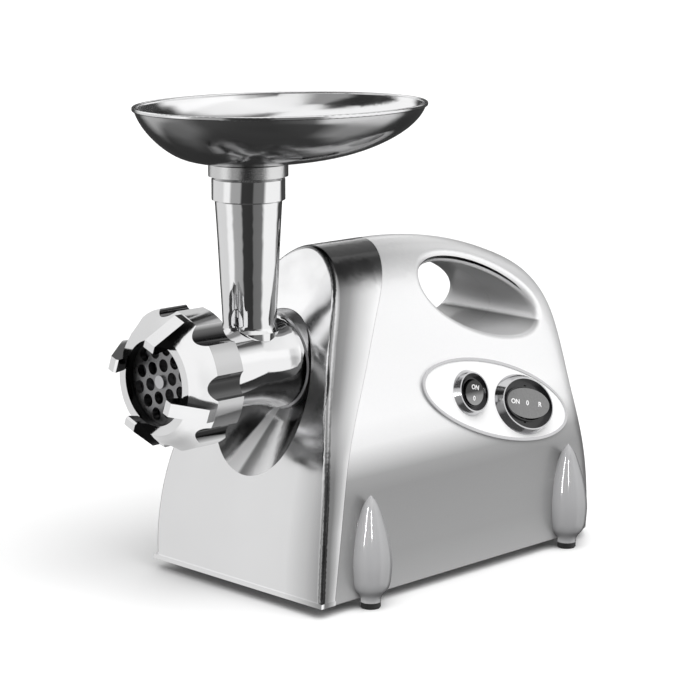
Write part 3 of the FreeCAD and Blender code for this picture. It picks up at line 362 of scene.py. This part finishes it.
def paint_scoop_reflections(s):
    """Painted reflections fan out round the scoop, in degrees from straight down, positive to +X; one wedge
    also loses its metal, so that the sky light shows it white as a painted highlight."""
    across, _, height = s.coordinates()
    turn = s.math("ARCTAN2", across, s.math("SUBTRACT", SCOOP_FAN_HEIGHT, height))
    degrees = s.math("MULTIPLY", turn, math.degrees(1.0))
    inside = s.within(s.radius(SCOOP_HEIGHT), -1.0, SCOOP_RADIUS, 0.0005)
    hollow = s.math("MULTIPLY", inside, s.step(s.facing((0.0, -1.0, 0.2)), 0.96, 0.90))
    fan = s.grade(degrees, -180.0, 180.0, [(-120, 0.10), (-60, 0.06), (-35, 0.13), (-22, 0.20), (-19, 1.0),
                                           (-7, 1.0), (-4, 0.60), (10, 0.62), (24, 0.85), (36, 0.22),
                                           (50, 0.06), (100, 0.10)])
    # the wedge that loses its metal, so that it shows as a painted highlight
    matt_painted_highlight = s.grade(degrees, -180.0, 180.0, [(-60, 0.0), (-21, 0.05), (-19, 0.95), (-7, 0.95), (-4, 0.4),
                                            (24, 0.5), (36, 0.0)])
    s.multiply(fan, hollow)
    metallic = s.math("SUBTRACT", 1.0, s.math("MULTIPLY", matt_painted_highlight, hollow))
    s.tree.links.new(metallic, s.surface.inputs["Metallic"])


def nut_metal():
    """Polished casting. On the front cone the shading normals are bent forward, so that it reflects what is
    in front, and the flanks of the lobes carry painted shade by radius, darker towards the axis."""
    forward_bend = -1.9
    s = polished("nut_casting", (0.90, 0.90, 0.905), 0.12, 0.00002)
    cone = s.within(s.facing(FORWARD), 0.30, 0.97, 0.05)
    pull = s.tree.nodes.new("ShaderNodeCombineXYZ")
    s.tree.links.new(s.math("MULTIPLY", cone, forward_bend), pull.inputs["Y"])
    bent = s.tree.nodes.new("ShaderNodeVectorMath")
    bent.operation = "ADD"
    s.tree.links.new(s.tree.nodes.new("ShaderNodeNewGeometry").outputs["Normal"], bent.inputs[0])
    s.tree.links.new(pull.outputs["Vector"], bent.inputs[1])
    unit = s.tree.nodes.new("ShaderNodeVectorMath")
    unit.operation = "NORMALIZE"
    s.tree.links.new(bent.outputs["Vector"], unit.inputs[0])
    s.tree.links.new(unit.outputs["Vector"], s.surface.inputs["Normal"])
    flank = s.step(s.math("ABSOLUTE", s.facing(FORWARD)), 0.30, 0.15)
    # painted shade on the lobes' flanks, darker towards the axis
    tone = s.grade(s.radius(HEAD_HEIGHT), 0.036, 0.046, [(0.0388, 0.06), (0.0408, 0.16), (0.0424, 0.50),
                                                         (0.0438, 0.85)])
    return s.multiply(tone, flank)


def tray_steel():
    """Polished sheet with painted shade: darker the more it faces down."""
    s = polished("tray_steel", (0.90, 0.90, 0.905), 0.14, 0.000002)
    return s.multiply(s.grade(s.facing(UP), -1.0, 1.0, [(-1.0, 0.30), (-0.55, 0.42), (-0.25, 0.60),
                                                        (-0.12, 0.9), (0.05, 1.0)]))


def wall_frame():
    """Directions on the switch panel: rearward along it, up along it, and outward."""
    along = Vector(JOINTS["power_rocker_tilt"]["axis"]).normalized()
    up = Vector(JOINTS["direction_rocker_tilt"]["axis"]).normalized()
    outward = along.cross(up).normalized()
    return along, outward.cross(along), outward


def rocker_cap(name, top, skirt, shade=None):
    """Rocker whose pressed face is toned apart from its black skirt; shade, where given, is painted shade
    graded by height.
    """
    s = moulded(name, (1.0, 1.0, 1.0), 0.26, 0.000006, 0.01)
    if shade:
        s.multiply(s.grade(s.coordinates()[2], 0.10, 0.13, shade))
    outward = tuple(wall_frame()[2])
    return s.multiply(color_ramp(s.tree, s.step(s.facing(outward), 0.70, 0.80),
                                 gray_stops([(0.0, skirt), (1.0, top)], 0.0, 1.0)))


# by material slot
MATERIALS = {
    "chrome_housing": chrome_housing(),
    "silver_casing": silver_lacquer(),
    "grey_plastic": moulded("base_moulding", (0.22, 0.22, 0.225), 0.5),
    "foot_grey": moulded("foot_gloss", (0.30, 0.30, 0.305), 0.10, 0.000004, 0.03),
    "rubber": moulded("pad_rubber", (0.035, 0.035, 0.035), 0.75, 0.00006),
    "panel_white": moulded("panel_gloss", (0.97, 0.97, 0.972), 0.18, 0.000003, 0.01),
    "trim_chrome": polished("trim_chrome", (0.62, 0.62, 0.63), 0.10, 0.000004),
    "switch_black": moulded("switch_black", (0.012, 0.012, 0.013), 0.22, 0.00001, 0.2),
    "rocker_grey": rocker_cap("rocker_grey", 0.15, 0.012),
    "cast_aluminium": cast("cast_aluminium", (0.62, 0.62, 0.63), 0.35),
    "screw_steel": brushed("zinc_steel", (0.55, 0.55, 0.56), 0.30),
    "polished_metal": polished("polished_casting", (0.86, 0.86, 0.865), 0.055, 0.00004),
    "tray_steel": tray_steel(),
    "brushed_ring": brushed("turned_ring", (0.74, 0.74, 0.74), 0.22, (1.0, 1.0, 26.0)),
    "plate_steel": brushed("plate_steel", (0.30, 0.30, 0.305), 0.38),
    "knife_steel": brushed("knife_steel", (0.50, 0.50, 0.51), 0.30, (8.0, 1.0, 1.0)),
    "nylon": moulded("nylon_washer", (0.80, 0.80, 0.77), 0.45),
    "nylon_gear": moulded("nylon_gear", (0.75, 0.74, 0.68), 0.45),
    "gear_steel": brushed("sintered_steel", (0.38, 0.38, 0.39), 0.42),
    "shaft_steel": brushed("ground_shaft", (0.58, 0.58, 0.59), 0.22, (1.0, 12.0, 1.0)),
    "bronze": cast("oilite_bronze", (0.52, 0.36, 0.18), 0.40),
    "laminations": brushed("laminations", (0.22, 0.22, 0.23), 0.50, (0.2, 14.0, 0.2), 200.0, 0.0001),
    "copper": brushed("enamelled_copper", (0.62, 0.26, 0.10), 0.28, (0.2, 10.0, 10.0), 260.0, 0.0002),
    "black_plastic": moulded("black_moulding", (0.02, 0.02, 0.02), 0.45),
    "carbon": moulded("carbon_block", (0.03, 0.03, 0.032), 0.6),
}
MATERIALS["foot_grey"].set(Coat_Weight=0.6, Coat_Roughness=0.04)
LETTER_PAINT = moulded("letter_paint", (0.95, 0.95, 0.95), 0.5, 0.000002, 0.02)
# painted shade: the power cap darkens towards its top
POWER_CAP = rocker_cap("power_cap", 0.26, 0.012, [(0.104, 1.0), (0.1135, 0.75), (0.117, 0.05)])


# ---- the CAD's own pieces ----
EDGE_ANGLE = math.radians(24.0)
WELD_DISTANCE = 0.000002


def dress_cad_nodes():
    own = {"ring_nut": nut_metal(), "power_rocker": POWER_CAP}
    slots = {part["node"]: part["material_slot"] for part in frame["record"]["subparts"]}
    for node, obj in frame["nodes"].items():
        obj.data.materials.clear()
        obj.data.materials.append(own.get(node, MATERIALS[slots[node]]).material)
        smooth_shading(obj)


def smooth_shading(obj):
    """Clears the imported normals and sharp marks. Normals then run smoothly over every edge flatter than
    EDGE_ANGLE and break at the sharper ones. No vertex moves."""
    attributes = obj.data.attributes
    for name in ("custom_normal", "sharp_edge", "sharp_face"):
        if name in attributes:
            attributes.remove(attributes[name])
    weld = obj.modifiers.new("weld", "WELD")
    weld.merge_threshold = WELD_DISTANCE
    split = obj.modifiers.new("split", "EDGE_SPLIT")
    split.split_angle = EDGE_ANGLE
    split.use_edge_sharp = False
    normals = obj.modifiers.new("normals", "WEIGHTED_NORMAL")
    normals.keep_sharp = True


# ---- lettering ----
LETTER_DEPTH = 0.00014
LETTER_WEIGHT = 0.00010                 # how much the strokes are thickened
# Each rocker rests leaning, and its cap falls away from the middle by its slope.
DIRECTION_LEAN, DIRECTION_SLOPE, DIRECTION_SIZE = -12.0, 2.9, 0.0044
POWER_LEAN, POWER_SLOPE, POWER_SIZE = 7.0, 1.7, 0.0042


def lettering(text, joint_name, spot, tilt, size):
    """Printed letters on a rocker; spot is (along, up, outward) from the pivot, before the cap's tilt."""
    joint = JOINTS[joint_name]
    curve = bpy.data.curves.new("letters", "FONT")
    curve.body = text
    curve.size = size
    curve.extrude = LETTER_DEPTH
    curve.offset = LETTER_WEIGHT
    curve.align_x = "CENTER"
    curve.align_y = "CENTER"
    draft = bpy.data.objects.new("letters_draft", curve)
    mesh = bpy.data.meshes.new_from_object(draft)
    bpy.data.objects.remove(draft)
    letters = bpy.data.objects.new(f"letters_{joint['child']}_{text}", mesh)
    bpy.context.scene.collection.objects.link(letters)
    panel = Matrix(wall_frame()).transposed().to_4x4()
    mesh.transform(Matrix.Translation(Vector(joint["pos_m"])) @ panel @ tilt @ Matrix.Translation(spot))
    mesh.materials.clear()
    mesh.materials.append(LETTER_PAINT.material)
    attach(letters, joint["child"])


def letter_rockers():
    for text, spot, slope in (("ON", (-0.0100, 0.0, 0.0044), DIRECTION_SLOPE), ("0", (0.0, 0.0, 0.0045), 0.0),
                              ("R", (0.0098, 0.0, 0.0044), -DIRECTION_SLOPE)):
        tilt = Matrix.Rotation(math.radians(DIRECTION_LEAN + slope), 4, "Y")
        lettering(text, "direction_rocker_tilt", spot, tilt, DIRECTION_SIZE)
    for text, spot, slope in (("ON", (0.0, 0.0036, 0.0044), POWER_SLOPE),
                              ("0", (0.0, -0.0038, 0.0044), -POWER_SLOPE)):
        tilt = Matrix.Rotation(math.radians(POWER_LEAN + slope), 4, "X")
        lettering(text, "power_rocker_tilt", spot, tilt, POWER_SIZE)


# ---- studio ----
def make_world():
    world = bpy.data.worlds.new("studio")
    bpy.context.scene.world = world
    world.use_nodes = True
    tree = world.node_tree
    place = tree.nodes.new("ShaderNodeTexCoord")
    turn = tree.nodes.new("ShaderNodeVectorRotate")
    turn.rotation_type = "Z_AXIS"
    turn.inputs["Angle"].default_value = -FRONT_AZIMUTH
    tree.links.new(place.outputs["Generated"], turn.inputs["Vector"])
    split = tree.nodes.new("ShaderNodeSeparateXYZ")
    tree.links.new(turn.outputs["Vector"], split.inputs["Vector"])
    angle = math_node(tree, "ARCTAN2", split.outputs["Y"], split.outputs["X"])
    around = math_node(tree, "ADD", math_node(tree, "DIVIDE", angle, math.tau), 0.5)
    color = color_ramp(tree, around, gray_stops(LEVEL_BAND, -180.0, 180.0))
    for layer, start, end in SKY_LAYERS:
        tone = layer
        if isinstance(layer, list):
            tone = color_ramp(tree, around, gray_stops(layer, -180.0, 180.0))
        color = mix_colors(tree, smooth_step(tree, split.outputs["Z"], start, end), color, tone)
    background = tree.nodes["Background"]
    tree.links.new(color, background.inputs["Color"])
    background.inputs["Strength"].default_value = 1.0


def make_light(name, kind, energy):
    data = bpy.data.lights.new(name, kind)
    data.energy = energy
    obj = bpy.data.objects.new(name, data)
    bpy.context.scene.collection.objects.link(obj)
    return obj


def look_along(obj, direction):
    obj.rotation_euler = Vector(direction).to_track_quat("-Z", "Y").to_euler()


def make_sun(strength, direction, softness):
    sun = make_light("sky_light", "SUN", strength)
    sun.data.angle = math.radians(softness)
    look_along(sun, direction)
    sun.visible_glossy = False


def make_strip(name, azimuth, height, reach, size, power, receivers):
    """Narrow upright lamp that lights only its receivers, for highlights on the glossy mouldings."""
    lamp = make_light(name, "AREA", power)
    lamp.data.shape = "RECTANGLE"
    lamp.data.size, lamp.data.size_y = size
    angle = FRONT_AZIMUTH + math.radians(azimuth)
    lamp.location = (reach * math.cos(angle), reach * math.sin(angle), height)
    body_middle = Vector((0.0, 0.0, 0.1))
    look_along(lamp, body_middle - lamp.location)
    lit = bpy.data.collections.new(name + "_receivers")
    for receiver in receivers:
        lit.objects.link(receiver)
    lamp.light_linking.receiver_collection = lit


def make_floor():
    """Pale floor, hidden from glossy and diffuse rays: the object isn't lit by it and doesn't reflect it."""
    reach = 15.0
    mesh = bpy.data.meshes.new("floor")
    corners = [(-reach, -reach, 0.0), (reach, -reach, 0.0), (reach, reach, 0.0), (-reach, reach, 0.0)]
    mesh.from_pydata(corners, [], [(0, 1, 2, 3)])
    floor = bpy.data.objects.new("floor", mesh)
    bpy.context.scene.collection.objects.link(floor)
    s = Shader("pale_floor", (0.95, 0.95, 0.95), 0.0, 0.9)
    s.tint(s.noise(3.0), 0.003)
    mesh.materials.append(s.material)
    floor.visible_glossy = False
    floor.visible_diffuse = False


def make_camera():
    data = bpy.data.cameras.new("camera")
    data.lens = LENS_MM
    data.sensor_width = SENSOR_MM
    data.clip_start = 0.01
    camera = bpy.data.objects.new("camera", data)
    bpy.context.scene.collection.objects.link(camera)
    azimuth, down = math.radians(CAMERA_AZIMUTH), math.radians(CAMERA_DOWN)
    level = math.cos(down)
    camera.location = CAMERA_AT
    look_along(camera, (-math.sin(azimuth) * level, math.cos(azimuth) * level, -math.sin(down)))
    bpy.context.scene.camera = camera


bpy.context.scene.view_settings.view_transform = "Standard"
make_camera()
make_world()
make_floor()
make_sun(strength=2.5, direction=(-0.55, 0.25, -1.0), softness=60.0)
dress_cad_nodes()
letter_rockers()
glossy = [obj for node, obj in frame["nodes"].items()
          if node.startswith("foot") or "switch" in node or "rocker" in node]
make_strip("strip_left", azimuth=-38.0, height=0.55, reach=1.6, size=(0.05, 0.7), power=14.0,
           receivers=glossy)
make_strip("strip_front", azimuth=6.0, height=0.60, reach=1.6, size=(0.03, 0.45), power=8.0,
           receivers=glossy)
